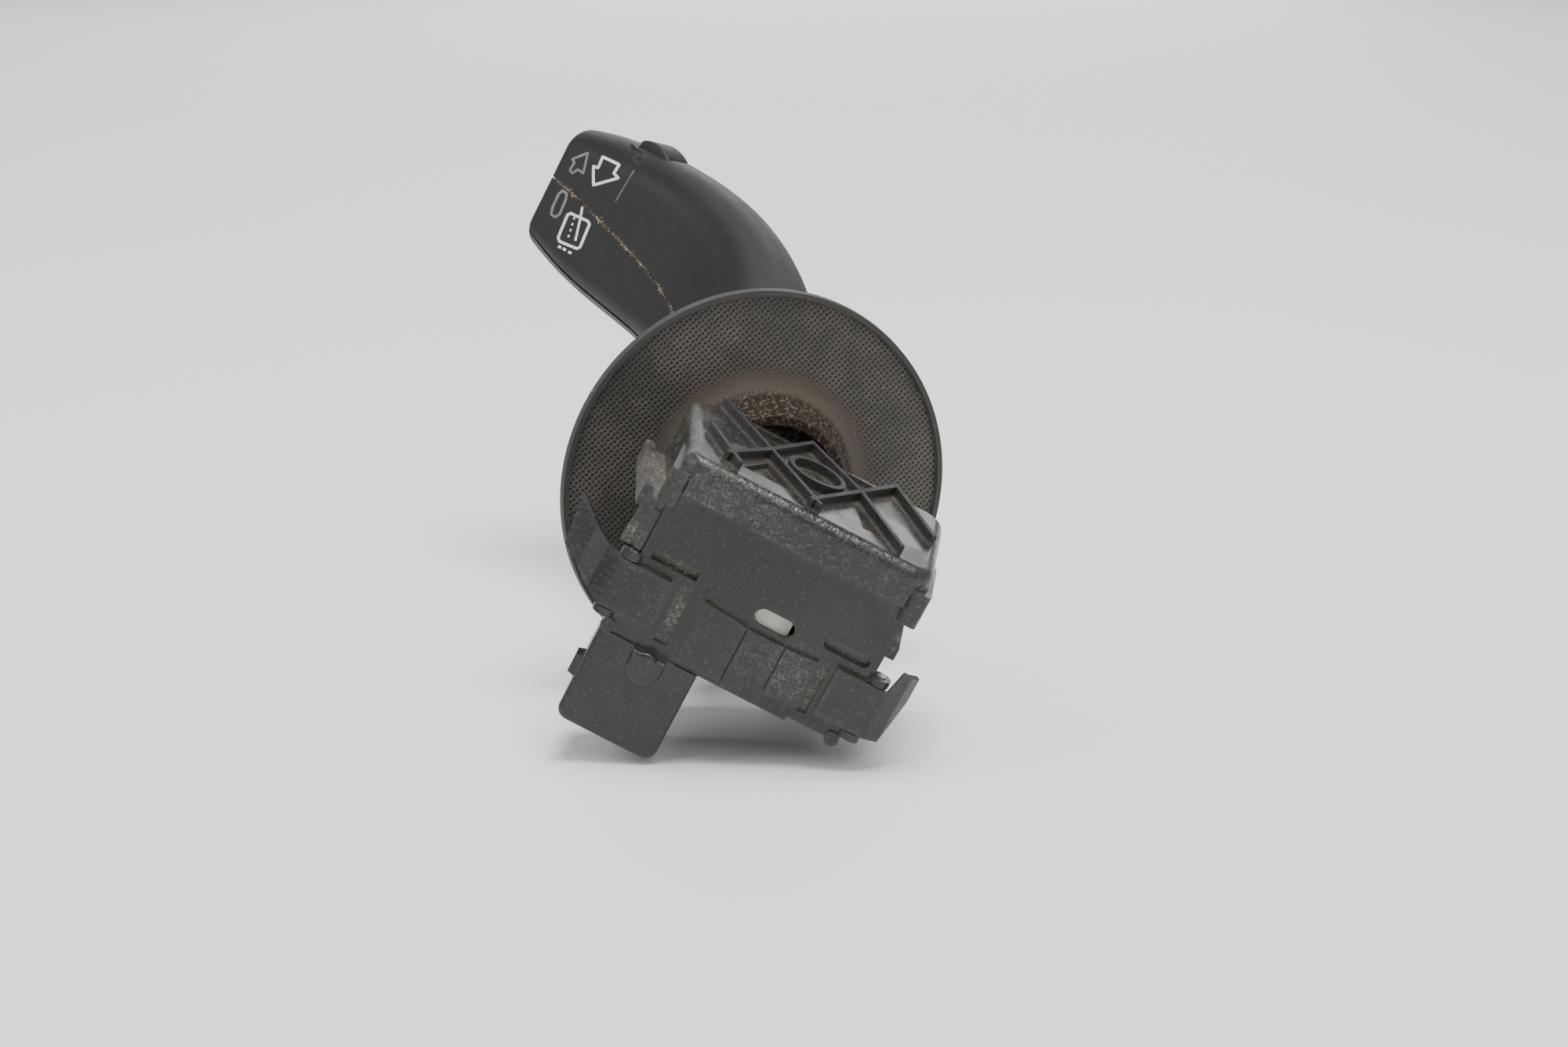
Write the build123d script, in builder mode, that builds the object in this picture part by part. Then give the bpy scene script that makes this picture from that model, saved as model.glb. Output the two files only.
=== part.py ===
from build123d import *
from math import cos, radians, sin
import os

os.makedirs("parts", exist_ok=True)

# Combination stalk switch for a steering column, millimetres.
# +X runs from the seating face out along the lever, +Y towards the driver, +Z to the ribbed cover.
# The origin is the centre of the seating face.

# Switch box
BOX_LENGTH = 34.0
BOX_WIDTH = 43.0
BOX_BOTTOM = -18.0
BOX_TOP = 12.0
WALL = 2.0
PLATE_T = 2.0
COVER_TOP = 18.0
COVER_FRONT = -2.5
COVER_LENGTH = 32.6
COVER_SKIN = 16.4
SKIRT_BOTTOM = 7.0
RIB_T = 0.9

# Swivel: the carrier tips about Y for the wiper speeds, the lever swings in it about Z
PIVOT = (22.0, -2.0, -1.0)
CARRIER_PIN_R = 2.0
LEVER_PIN_R = 1.5
RUNNING = 0.05
CARRIER_FRONT = 5.0
CARRIER_BACK = 31.0
CARRIER_HALF_Y = 12.0
CARRIER_HALF_Z = 9.0
WINDOW_HALF_Y = 9.5
WINDOW_HALF_Z = 6.8
CORE_HALF_Y = 5.0
CORE_HALF_Z = 6.5
PLUNGER_R = 2.0
TRACK_RADIUS = 19.4
DETENT_STEP = 4.0

# Shroud disc on the lever root
DISC_CENTRE = (52.0, 8.4, -1.0)
DISC_HEADING = 22.3
DISC_PITCH = -11.9
DISC_R = 35.7
DISC_T = 1.6
NECK_R = 16.5
NECK_LENGTH = 8.0

# Lever stations: x, y, z, heading and pitch in degrees, width across Z, thickness
LEVER = [
    (52.8, 9.1, -1.2, DISC_HEADING, DISC_PITCH, 31.0, 20.5),
    (72.0, 14.6, 5.0, 20.0, 8.0, 34.0, 20.0),
    (92.0, 21.4, 9.4, 28.0, 4.0, 33.8, 18.5),
    (110.0, 33.0, 12.1, 41.0, 0.0, 34.2, 17.0),
    (125.0, 50.0, 11.2, 49.0, 0.0, 33.0, 15.5),
    (134.5, 61.4, 9.9, 51.0, 0.0, 29.0, 13.4),
    (138.8, 66.7, 9.1, 51.0, 0.0, 25.6, 11.4),
]
# Where the two long seams cross the width at each station, as a share of it
SEAM_UPPER = [-0.24, -0.22, -0.18, -0.11, -0.015, 0.045, 0.06]
SEAM_LOWER = [-0.43, -0.43, -0.43, -0.43, -0.427, -0.407, -0.385]
SHELL_T = 1.6
SEAM_GAP = 0.25
SCREW_STATIONS = (LEVER[1], LEVER[2])
SCREW_RISE = 3.0
SCREW_R = 1.3
SCREW_HOLE_R = 1.6
HEAD_R = 2.6
HEAD_DEPTH = 2.4

# Connector under the box
SOCKET_Y = 13.0
SOCKET_WIDTH = 18.0
SOCKET_FRONT = -0.6
SOCKET_BACK = 16.0
SOCKET_BOTTOM = -35.5
SOCKET_WALL = 1.5
SOCKET_DEPTH = 13.0
BLADE_RECESS = 5.2

# Release clips at the two ends of the box
CLIP_PIN_Y = 22.6
CLIP_PIN_R = 0.8
CLIP_PIN_X = 0.5
CLIP_T = 1.1
CLIP_EYE_R = 1.5
CLIP_LOW = -14.2
CLIP_HIGH = -5.2


def direction(heading, pitch):
    """Unit vector of a heading from +X to +Y, raised by a pitch to +Z."""
    flat = cos(radians(pitch))
    return Vector(flat * cos(radians(heading)), flat * sin(radians(heading)), sin(radians(pitch)))


def station_plane(station):
    """Section plane of the lever: local x is the width, local y points to the hidden face."""
    x, y, z, heading, pitch = station[:5]
    along = direction(heading, pitch)
    across = Vector(-sin(radians(heading)), cos(radians(heading)), 0)
    return Plane(origin=(x, y, z), x_dir=along.cross(across), z_dir=along)


def screw_plane(station, depth):
    """Plane of a shell screw, facing out of the lever's hidden face, at a depth from its middle."""
    middle = station_plane(station)
    return Plane(origin=middle.origin, x_dir=(0, 0, 1), z_dir=middle.y_dir).offset(depth)


def lever_sections(inset, stations):
    """The lever's rounded sections, drawn in by an inset, ready to loft."""
    faces = []
    for station in stations:
        width = station[5] - 2 * inset
        thick = station[6] - 2 * inset
        with BuildSketch(station_plane(station)) as section:
            RectangleRounded(width, thick, 0.42 * thick)
        faces.append(section.sketch.faces()[0])
    return faces


def seam_band(low, high, gap_low, gap_high):
    """Sections of the strip between two seams, wider than the lever is thick."""
    faces = []
    for station, lo, hi in zip(LEVER, low, high):
        width = station[5]
        start = lo * width + gap_low
        end = hi * width - gap_high
        with BuildSketch(station_plane(station)) as section:
            with Locations(((start + end) / 2, 0)):
                Rectangle(end - start, station[6] + 6)
        faces.append(section.sketch.faces()[0])
    return faces


def save(part, label):
    """Labels a finished piece and writes it out."""
    part.label = label
    export_step(part, "parts/" + label + ".step")


# Planes that several pieces share
DISC_AXIS = direction(DISC_HEADING, DISC_PITCH)
DISC_PLANE = Plane(origin=DISC_CENTRE, z_dir=DISC_AXIS)
PX, PY, PZ = PIVOT
ACROSS = Plane(origin=PIVOT, x_dir=(1, 0, 0), z_dir=(0, 1, 0))
UPRIGHT = Plane(origin=PIVOT, x_dir=(1, 0, 0), z_dir=(0, 0, 1))
ALONG = Plane(origin=PIVOT, x_dir=(0, 1, 0), z_dir=(1, 0, 0))

# ---------------------------------------------------------------------------
# Box: a tray open to the lever, with bosses for the carrier pins
# ---------------------------------------------------------------------------
HALF = BOX_WIDTH / 2
BOX_MID_Z = (BOX_TOP + BOX_BOTTOM) / 2

# Wing beside the driver's end: its front lies behind the clip, its ledge flares towards the lever
WING_TOP = 6.0
WING_LOW = -3.2
WING_FRONT = 0.7
WING_BACK = 22.0
WING_OUT = HALF + 3.4
WING_FLARE = 3.0
RIM_IN = WING_OUT - 0.4
RIM_T = 1.6

with BuildPart() as housing:
    with BuildSketch(Plane.YZ.offset(PLATE_T)):
        with Locations((0, BOX_MID_Z)):
            Rectangle(BOX_WIDTH, BOX_TOP - BOX_BOTTOM)
    extrude(amount=BOX_LENGTH - PLATE_T)
    fillet(housing.edges().filter_by(Axis.X).group_by(Axis.Z)[0], 2.0)
    with BuildSketch(Plane.YZ.offset(PLATE_T)):
        with Locations((0, BOX_MID_Z + WALL)):
            Rectangle(BOX_WIDTH - 2 * WALL, BOX_TOP - BOX_BOTTOM)
    extrude(amount=BOX_LENGTH, mode=Mode.SUBTRACT)
    # Bosses reach in from both side walls to the carrier
    for side in (-1, 1):
        start = PY + side * (CARRIER_HALF_Y + 0.4)
        with BuildSketch(Plane(origin=(PX, start, PZ), z_dir=(0, side, 0))):
            Circle(4.2)
        extrude(until=Until.NEXT)
        with BuildSketch(Plane(origin=(PX, start, PZ), z_dir=(0, side, 0))):
            Circle(CARRIER_PIN_R + RUNNING)
        extrude(amount=6.2, mode=Mode.SUBTRACT)
    # Ledges that carry the circuit board
    with BuildSketch(Plane.XY.offset(BOX_BOTTOM + WALL)):
        for y in (-17.6, 17.6):
            with Locations((18.4, y)):
                Rectangle(31, 3.8)
    extrude(amount=1.6)
    # Collar of the open end, where the lever shroud sweeps past
    with BuildSketch(Plane.YZ.offset(BOX_LENGTH - 1.6)):
        with Locations((0, BOX_MID_Z)):
            Rectangle(BOX_WIDTH + 2.4, BOX_TOP - BOX_BOTTOM)
            Rectangle(BOX_WIDTH - 2 * WALL, BOX_TOP - BOX_BOTTOM, mode=Mode.SUBTRACT)
            with Locations((0, WALL)):
                Rectangle(BOX_WIDTH - 2 * WALL, BOX_TOP - BOX_BOTTOM, mode=Mode.SUBTRACT)
    extrude(amount=1.6)
    # Guide rails for the column carrier, one on each side wall
    for side in (-1, 1):
        with BuildSketch(Plane.XY.offset(-1.0)):
            with Locations((14.5, side * (HALF + 0.9))):
                Rectangle(24, 1.8)
        extrude(amount=2.2)
        with BuildSketch(Plane.XY.offset(2.6)):
            with Locations((22.5, side * (HALF + 0.7))):
                Rectangle(12, 1.4)
        extrude(amount=1.6)
    # Flange of the wing, behind the end plate's edge and beside it, with a ridge down its face
    for start, inner in ((PLATE_T, HALF - 0.5), (WING_FRONT, HALF + 0.1)):
        with BuildSketch(Plane.YZ.offset(start)):
            with BuildLine():
                Polyline((inner, WING_TOP), (WING_OUT, WING_TOP), (WING_OUT + 0.7, WING_LOW),
                         (inner, WING_LOW), close=True)
            make_face()
        extrude(amount=1.8)
    with BuildSketch(Plane.YZ.offset(0.1)):
        with Locations((HALF + 0.9, (WING_TOP + WING_LOW) / 2 - 0.9)):
            Rectangle(1.2, WING_TOP - WING_LOW - 1.8)
    extrude(amount=0.9)
    # Ledge of the wing, and the raised rim along its outer edge
    with BuildSketch(Plane.XY.offset(WING_TOP)):
        with BuildLine():
            Polyline((PLATE_T, HALF - 0.5), (PLATE_T, WING_OUT), (WING_BACK, WING_OUT + WING_FLARE),
                     (WING_BACK + 1.5, HALF - 0.5), close=True)
        make_face()
    extrude(amount=-1.8)
    with BuildSketch(Plane.XY.offset(WING_TOP + 1.3)):
        with BuildLine():
            Polyline((WING_FRONT + 0.2, RIM_IN), (WING_FRONT + 0.5, RIM_IN + RIM_T),
                     (WING_BACK, RIM_IN + RIM_T + WING_FLARE), (WING_BACK, RIM_IN + WING_FLARE),
                     close=True)
        make_face()
    extrude(amount=-3.9)
    # Window to the connector's blades
    with BuildSketch(Plane.XY.offset(BOX_BOTTOM)):
        with Locations(((SOCKET_FRONT + SOCKET_BACK) / 2 + 1.0, SOCKET_Y)):
            Rectangle(9.4, 13.6)
    extrude(amount=WALL + 1.7, mode=Mode.SUBTRACT)
    # Bridge over the open end, level with the cover's seat
    with BuildSketch(Plane.XY.offset(BOX_TOP - WALL)):
        with Locations((BOX_LENGTH - 1.8, 0)):
            Rectangle(3.6, BOX_WIDTH)
    extrude(amount=WALL)
save(housing.part, "switch_housing")

# ---------------------------------------------------------------------------
# End plate: the seating face, with the slots of the column carrier
# ---------------------------------------------------------------------------
with BuildPart() as end_plate:
    with BuildSketch(Plane.YZ):
        with Locations((0, BOX_MID_Z)):
            RectangleRounded(BOX_WIDTH, BOX_TOP - BOX_BOTTOM, 1.5)
        # Lower edge steps up towards the far side
        with Locations((-HALF + 5.6, BOX_BOTTOM)):
            Rectangle(7.4, 2.0, mode=Mode.SUBTRACT)
        with Locations((-3.1, -3.9)):
            SlotOverall(7.2, 3.4, mode=Mode.SUBTRACT)
    extrude(amount=PLATE_T - 0.02)
    # Blind slots at both sides of the through slot
    with BuildSketch(Plane.YZ):
        with Locations((-15.9, -2.6)):
            SlotOverall(8.4, 2.2)
        with Locations((15.6, -2.7)):
            Rectangle(8.4, 1.8)
    extrude(amount=1.4, mode=Mode.SUBTRACT)
    # Raised panel below the step line, in three fields
    with BuildSketch(Plane.YZ):
        with BuildLine():
            Polyline((8.6, -5.6), (0.6, -6.4), (-7.6, -6.4), (-12.4, -6.0), (-12.4, -15.0),
                     (-6.5, -15.0), (-6.5, -17.4), (0.4, -17.4), (0.4, -16.8), (8.6, -16.8),
                     close=True)
        make_face()
        for y in (0.4, -6.5):
            with Locations((y, -11.5)):
                Rectangle(0.35, 14.0, mode=Mode.SUBTRACT)
    extrude(amount=-0.9)
    # Channels beside the clip tongues
    with BuildSketch(Plane.YZ):
        with Locations((12.0, -10.5)):
            Rectangle(2.4, 11.0)
        with Locations((-13.8, -11.0)):
            Rectangle(1.6, 9.0)
    extrude(amount=0.8, mode=Mode.SUBTRACT)
    # Room for the clip eyes, and the hinge eyes of their pins
    for side in (-1, 1):
        with BuildSketch(Plane.XY.offset(CLIP_LOW - 0.1)):
            with Locations((CLIP_PIN_X, side * CLIP_PIN_Y)):
                Circle(CLIP_EYE_R + 0.35)
        extrude(amount=CLIP_HIGH - CLIP_LOW + 0.2, mode=Mode.SUBTRACT)
        for z in (CLIP_LOW - 1.5, CLIP_HIGH + 0.2):
            with BuildSketch(Plane.XY.offset(z)):
                with Locations((CLIP_PIN_X, side * CLIP_PIN_Y)):
                    Circle(1.9)
                with Locations((1.0, side * (CLIP_PIN_Y - 1.6))):
                    Rectangle(1.9, 3.2)
                with Locations((CLIP_PIN_X, side * CLIP_PIN_Y)):
                    Circle(CLIP_PIN_R + 0.03, mode=Mode.SUBTRACT)
            extrude(amount=1.3)
    # Round posts at the two lower corners
    for y in (-HALF + 1.2, HALF - 0.6):
        with BuildSketch(Plane.YZ.offset(PLATE_T - 0.02)):
            with Locations((y, BOX_BOTTOM + 1.0)):
                Circle(1.25)
        extrude(amount=-PLATE_T - 0.5)
save(end_plate.part, "end_plate")

# ---------------------------------------------------------------------------
# Ribbed cover: a lid with a truss of thin ribs round a moulded ring
# ---------------------------------------------------------------------------
COVER_BACK = COVER_FRONT + COVER_LENGTH
COVER_MID_X = (COVER_FRONT + COVER_BACK) / 2
COVER_WIDTH = BOX_WIDTH + 2.0
RING_AT = (15.0, 1.5)
LEFT_KNOT = (15.0, 10.0)
RIGHT_KNOT = (17.0, -6.5)
FLARE_START = (23.5, HALF + 3.8)
FLARE_END = (25.5, HALF + 3.8)

with BuildPart() as cover:
    with BuildSketch(Plane.XY.offset(BOX_TOP)):
        with Locations((COVER_MID_X, 0)):
            RectangleRounded(COVER_LENGTH, COVER_WIDTH, 4.0)
        with BuildLine():
            Polyline((4.0, HALF), (6.0, HALF + 1.0), FLARE_START, FLARE_END, (28.0, HALF + 1.0),
                     (28.0, HALF), close=True)
        make_face()
    extrude(amount=COVER_SKIN - BOX_TOP)
    fillet(cover.faces().sort_by(Axis.Z)[-1].edges(), 2.0)
    # Thin ribs stand on the lid in a truss, round a moulded ring
    with BuildSketch(Plane.XY.offset(COVER_SKIN - 1.0)):
        with BuildLine():
            Polyline((28.6, 20.2), LEFT_KNOT, (0.2, -0.6))
        trace(line_width=RIB_T)
        with BuildLine():
            Polyline((2.6, 16.6), LEFT_KNOT, (29.2, 3.8), RIGHT_KNOT, (0.4, -15.4))
        trace(line_width=RIB_T)
        with BuildLine():
            Polyline((0.6, 1.2), RIGHT_KNOT, (29.2, -12.2), (13.0, -20.4))
        trace(line_width=RIB_T)
        with BuildLine():
            Polyline((12.6, 20.6), (0.8, 14.0))
        trace(line_width=RIB_T)
        with Locations(RING_AT):
            Circle(5.2)
            Circle(5.2 - RIB_T, mode=Mode.SUBTRACT)
    extrude(amount=COVER_TOP - COVER_SKIN + 1.0)
    # Sunk panels between the front rib ends and the rim at the back
    with BuildSketch(Plane.XY.offset(COVER_SKIN)):
        with BuildLine():
            Polyline((4.0, 13.2), (11.6, 9.6), (4.0, 4.2), close=True)
        make_face()
        with BuildLine():
            Polyline((4.0, -8.6), (13.0, -6.4), (4.2, -12.4), close=True)
        make_face()
        with BuildLine():
            Polyline((19.4, 9.4), (26.6, 14.2), (27.0, 6.2), close=True)
        make_face()
        with BuildLine():
            Polyline((21.0, -6.6), (27.4, -1.2), (27.4, -9.8), close=True)
        make_face()
    extrude(amount=-0.9, mode=Mode.SUBTRACT)
    # Front wall hangs over the end plate, with joint lines and a notch in its lower edge
    with BuildSketch(Plane.YZ.offset(COVER_FRONT)):
        with Locations((0, BOX_TOP - 0.9)):
            Rectangle(COVER_WIDTH - 5.0, 3.0)
        with Locations((9.6, BOX_TOP - 1.8)):
            Rectangle(3.2, 1.4, mode=Mode.SUBTRACT)
    extrude(amount=-COVER_FRONT - 0.05)
    for y in (18.6, 10.8, -12.0):
        with BuildSketch(Plane.YZ.offset(COVER_FRONT)):
            with Locations((y, BOX_TOP + 0.6)):
                Rectangle(0.4, 6.6)
        extrude(amount=0.3, mode=Mode.SUBTRACT)
    # Side skirts wrap the front corners
    for side in (-1, 1):
        with BuildSketch(Plane.XY.offset(SKIRT_BOTTOM)):
            with Locations((5.5, side * (HALF + 1.0))):
                RectangleRounded(16.0, 1.8, 0.8)
            with Locations((-1.3, side * (HALF + 0.2))):
                RectangleRounded(2.4, 3.4, 1.0)
        extrude(amount=BOX_TOP + 1.0 - SKIRT_BOTTOM)
    # Driver's side flares out towards the lever, down to the wing of the tray
    with BuildSketch(Plane.XY.offset(WING_TOP + 0.05)):
        with BuildLine():
            Polyline((4.0, HALF + 0.1), (4.0, HALF + 0.6), FLARE_START, FLARE_END, (28.0, HALF + 1.0),
                     (28.0, HALF + 0.1), close=True)
        make_face()
    extrude(amount=BOX_TOP + 1.0 - WING_TOP)
    # Locating rim that drops into the tray
    with BuildSketch(Plane.XY.offset(BOX_TOP)):
        with Locations((16.7, 0)):
            Rectangle(BOX_LENGTH - 9.0, BOX_WIDTH - 2 * WALL - 0.3)
            Rectangle(BOX_LENGTH - 12.0, BOX_WIDTH - 2 * WALL - 3.3, mode=Mode.SUBTRACT)
    extrude(amount=-1.8)
save(cover.part, "ribbed_cover")

# ---------------------------------------------------------------------------
# Connector socket, open at the bottom
# ---------------------------------------------------------------------------
SOCKET_MID_X = (SOCKET_FRONT + SOCKET_BACK) / 2
SOCKET_LENGTH = SOCKET_BACK - SOCKET_FRONT
SOCKET_HEIGHT = BOX_BOTTOM - SOCKET_BOTTOM

with BuildPart() as socket:
    with BuildSketch(Plane.XY.offset(SOCKET_BOTTOM)):
        with Locations((SOCKET_MID_X, SOCKET_Y)):
            Rectangle(SOCKET_LENGTH, SOCKET_WIDTH)
    extrude(amount=SOCKET_HEIGHT - 0.02)
    fillet(socket.edges().filter_by(Axis.X).group_by(Axis.Z)[0], 2.0)
    fillet(socket.edges().filter_by(Axis.Z).group_by(Axis.X)[0], 0.8)
    with BuildSketch(Plane.XY.offset(SOCKET_BOTTOM)):
        with Locations((SOCKET_MID_X, SOCKET_Y)):
            RectangleRounded(SOCKET_LENGTH - 2 * SOCKET_WALL, SOCKET_WIDTH - 2 * SOCKET_WALL, 1.0)
    extrude(amount=SOCKET_DEPTH, mode=Mode.SUBTRACT)
    # Slots for the blades
    with BuildSketch(Plane.XY.offset(BOX_BOTTOM)):
        with Locations((SOCKET_MID_X + 1.0, SOCKET_Y)):
            with GridLocations(5.0, 3.0, 2, 4):
                Rectangle(0.9, 2.1)
    extrude(amount=-SOCKET_HEIGHT, mode=Mode.SUBTRACT)
    # Half-round key on the front wall, and the latch wedge on the outer wall
    with BuildSketch(Plane.YZ.offset(SOCKET_FRONT)):
        with Locations((SOCKET_Y - 0.6, BOX_BOTTOM - 2.7)):
            Circle(3.0)
        with Locations((SOCKET_Y - 0.6, BOX_BOTTOM - 1.4)):
            Rectangle(6.0, 2.6)
    extrude(amount=-1.6)
    fillet(socket.faces().sort_by(Axis.X)[0].edges(), 0.7)
    with BuildSketch(Plane.XZ.offset(-(SOCKET_Y + SOCKET_WIDTH / 2))):
        with BuildLine():
            Polyline((2.4, -25.0), (2.4, -29.0), (6.0, -29.0), (6.0, -25.0), close=True)
        make_face()
    extrude(amount=-1.3, taper=12)
save(socket.part, "connector_socket")

with BuildPart() as blades:
    with BuildSketch(Plane.XY.offset(SOCKET_BOTTOM + BLADE_RECESS)):
        with Locations((SOCKET_MID_X + 1.0, SOCKET_Y)):
            with GridLocations(5.0, 3.0, 2, 4):
                Rectangle(0.8, 2.0)
    extrude(amount=SOCKET_HEIGHT - BLADE_RECESS + WALL + 1.5)
    chamfer(blades.edges().group_by(Axis.Z)[0], 0.25)
save(blades.part, "connector_blades")

# ---------------------------------------------------------------------------
# Circuit board with its contact strips
# ---------------------------------------------------------------------------
BOARD_Z = BOX_BOTTOM + WALL + 1.6
BOARD_T = 1.5

with BuildPart() as board:
    with BuildSketch(Plane.XY.offset(BOARD_Z)):
        with Locations((18.4, 0)):
            RectangleRounded(30.0, 37.6, 1.0)
        with Locations((SOCKET_MID_X + 1.0, SOCKET_Y)):
            with GridLocations(5.0, 3.0, 2, 4):
                Rectangle(1.2, 2.4, mode=Mode.SUBTRACT)
    extrude(amount=BOARD_T)
save(board.part, "circuit_board")

with BuildPart() as strips:
    for x in (PX - 5.3, PX - 2.3, PX + 0.7, PX + 3.7):
        with BuildSketch(Plane.XY.offset(BOARD_Z + BOARD_T)):
            with BuildLine():
                Polyline((x, -14.0), (x, 1.0), (x + 1.6, 4.0), (x + 1.6, 6.0))
            trace(line_width=1.6)
        extrude(amount=0.2)
save(strips.part, "contact_strips")

# ---------------------------------------------------------------------------
# Detent track on the inside of the end plate
# ---------------------------------------------------------------------------
TRACK_FRONT = PLATE_T - 0.02
TRACK_DEPTH = 4.3

with BuildPart() as track:
    with BuildSketch(Plane.XZ.offset(-PY)):
        with Locations((TRACK_FRONT + TRACK_DEPTH / 2, PZ)):
            Rectangle(TRACK_DEPTH, 17.0)
        with Locations((PX, PZ)):
            Circle(TRACK_RADIUS, mode=Mode.SUBTRACT)
            # A notch for off and one for each of the three speeds; the single wipe runs up the arc
            for step in range(4):
                with PolarLocations(TRACK_RADIUS, 1, start_angle=180 - step * DETENT_STEP):
                    Circle(0.6, mode=Mode.SUBTRACT)
    extrude(amount=4.0, both=True)
save(track.part, "detent_track")

# ---------------------------------------------------------------------------
# Carrier: a frame on two trunnions, with a barrel for its plunger
# ---------------------------------------------------------------------------
CARRIER_LENGTH = CARRIER_BACK - CARRIER_FRONT
WINDOW_FRONT = 12.0

with BuildPart() as carrier:
    with BuildSketch(Plane.XY.offset(PZ - CARRIER_HALF_Z)):
        with Locations(((WINDOW_FRONT + CARRIER_BACK) / 2 - 1.0, PY)):
            RectangleRounded(CARRIER_BACK - WINDOW_FRONT + 2.0, 2 * CARRIER_HALF_Y, 1.6)
    extrude(amount=2 * CARRIER_HALF_Z)
    # Barrel of the plunger
    with BuildSketch(Plane.YZ.offset(CARRIER_FRONT)):
        with Locations((PY, PZ)):
            Circle(3.6)
    extrude(amount=6.0)
    # Window for the lever core, open at the back
    with BuildSketch(Plane.YZ.offset(WINDOW_FRONT)):
        with Locations((PY, PZ)):
            Rectangle(2 * WINDOW_HALF_Y, 2 * WINDOW_HALF_Z)
    extrude(amount=40, mode=Mode.SUBTRACT)
    with BuildSketch(Plane.YZ.offset(CARRIER_FRONT)):
        with Locations((PY, PZ)):
            Circle(PLUNGER_R + RUNNING)
    extrude(amount=6.0, mode=Mode.SUBTRACT)
    # Trunnions
    for side in (-1, 1):
        with BuildSketch(Plane(origin=(PX, PY + side * (CARRIER_HALF_Y - 0.5), PZ), z_dir=(0, side, 0))):
            Circle(CARRIER_PIN_R)
        extrude(amount=6.3)
    # Bore of the upright lever pin
    with BuildSketch(Plane.XY.offset(PZ - CARRIER_HALF_Z)):
        with Locations((PX, PY)):
            Circle(LEVER_PIN_R)
    extrude(amount=2 * CARRIER_HALF_Z, mode=Mode.SUBTRACT)
    # Lightening pockets on the upper face
    with BuildSketch(Plane.XY.offset(PZ + CARRIER_HALF_Z)):
        for x in (14.4, 26.0):
            with Locations((x, PY)):
                RectangleRounded(4.4, 17.0, 0.8)
    extrude(amount=-1.0, mode=Mode.SUBTRACT)
save(carrier.part, "swivel_carrier")

with BuildPart() as lever_pin:
    with BuildSketch(Plane.XY.offset(PZ - CARRIER_HALF_Z + 0.1)):
        with Locations((PX, PY)):
            Circle(LEVER_PIN_R)
    extrude(amount=2 * CARRIER_HALF_Z - 0.2)
    chamfer(lever_pin.edges(), 0.3)
save(lever_pin.part, "lever_pin")

with BuildPart() as bridge:
    # Leaf contact under the carrier, close to its axis
    with BuildSketch(Plane.YZ.offset(PX - 2.5)):
        with BuildLine():
            Polyline((PY - 6.0, PZ - CARRIER_HALF_Z - 0.2), (PY + 2.0, PZ - CARRIER_HALF_Z - 0.2),
                     (PY + 5.0, PZ - CARRIER_HALF_Z - 2.0), (PY + 6.4, PZ - CARRIER_HALF_Z - 1.4))
        trace(line_width=0.4)
    extrude(amount=5.0)
save(bridge.part, "contact_bridge")


def plunger(plane, length):
    """Round-nosed plunger whose nose points along the plane's +Z."""
    with BuildPart() as pin:
        with BuildSketch(plane):
            Circle(PLUNGER_R)
        extrude(amount=length)
        nose = pin.faces().sort_by(Axis(plane.origin, plane.z_dir))[-1]
        fillet(nose.edges(), PLUNGER_R - 0.1)
    return pin.part


def coil(height, turns, radius, wire):
    """Compression spring standing on the XY plane."""
    with BuildPart() as spring:
        with BuildLine() as path:
            Helix(pitch=height / turns, height=height, radius=radius)
        with BuildSketch(Plane(origin=path.line @ 0, z_dir=path.line % 0)):
            Circle(wire / 2)
        sweep(path=path.line, is_frenet=True)
    return spring.part


# Carrier plunger presses on the track on the end plate
CARRIER_NOSE = PX - TRACK_RADIUS + 0.32
CARRIER_PLUNGER_LENGTH = 5.4
CARRIER_SPRING_LENGTH = 1.7

with BuildPart() as carrier_plunger:
    add(plunger(Plane(origin=(CARRIER_NOSE + CARRIER_PLUNGER_LENGTH, PY, PZ), z_dir=(-1, 0, 0)),
                CARRIER_PLUNGER_LENGTH))
save(carrier_plunger.part, "carrier_plunger")

with BuildPart() as carrier_spring:
    with Locations(Plane(origin=(CARRIER_NOSE + CARRIER_PLUNGER_LENGTH + 0.35, PY, PZ), z_dir=(1, 0, 0))):
        add(coil(CARRIER_SPRING_LENGTH, 3, 1.3, 0.4))
save(carrier_spring.part, "carrier_spring")

# ---------------------------------------------------------------------------
# Lever core: the arm that the carrier holds and the shells are screwed to
# ---------------------------------------------------------------------------
CORE_TAIL = 15.0
CORE_BACK = 31.0
CORE_WIDTH = 11.0
CORE_THICK = 8.0

core_sections = []
for station in LEVER[0:4]:
    with BuildSketch(station_plane(station)) as section:
        RectangleRounded(CORE_WIDTH, CORE_THICK, 1.5)
    core_sections.append(section.sketch.faces()[0])
with BuildSketch(Plane(origin=(CORE_BACK, 1.0, PZ), x_dir=(0, 0, 1), z_dir=direction(15, 0))) as section:
    RectangleRounded(CORE_WIDTH, CORE_THICK, 1.5)
core_sections.insert(0, section.sketch.faces()[0])

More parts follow.
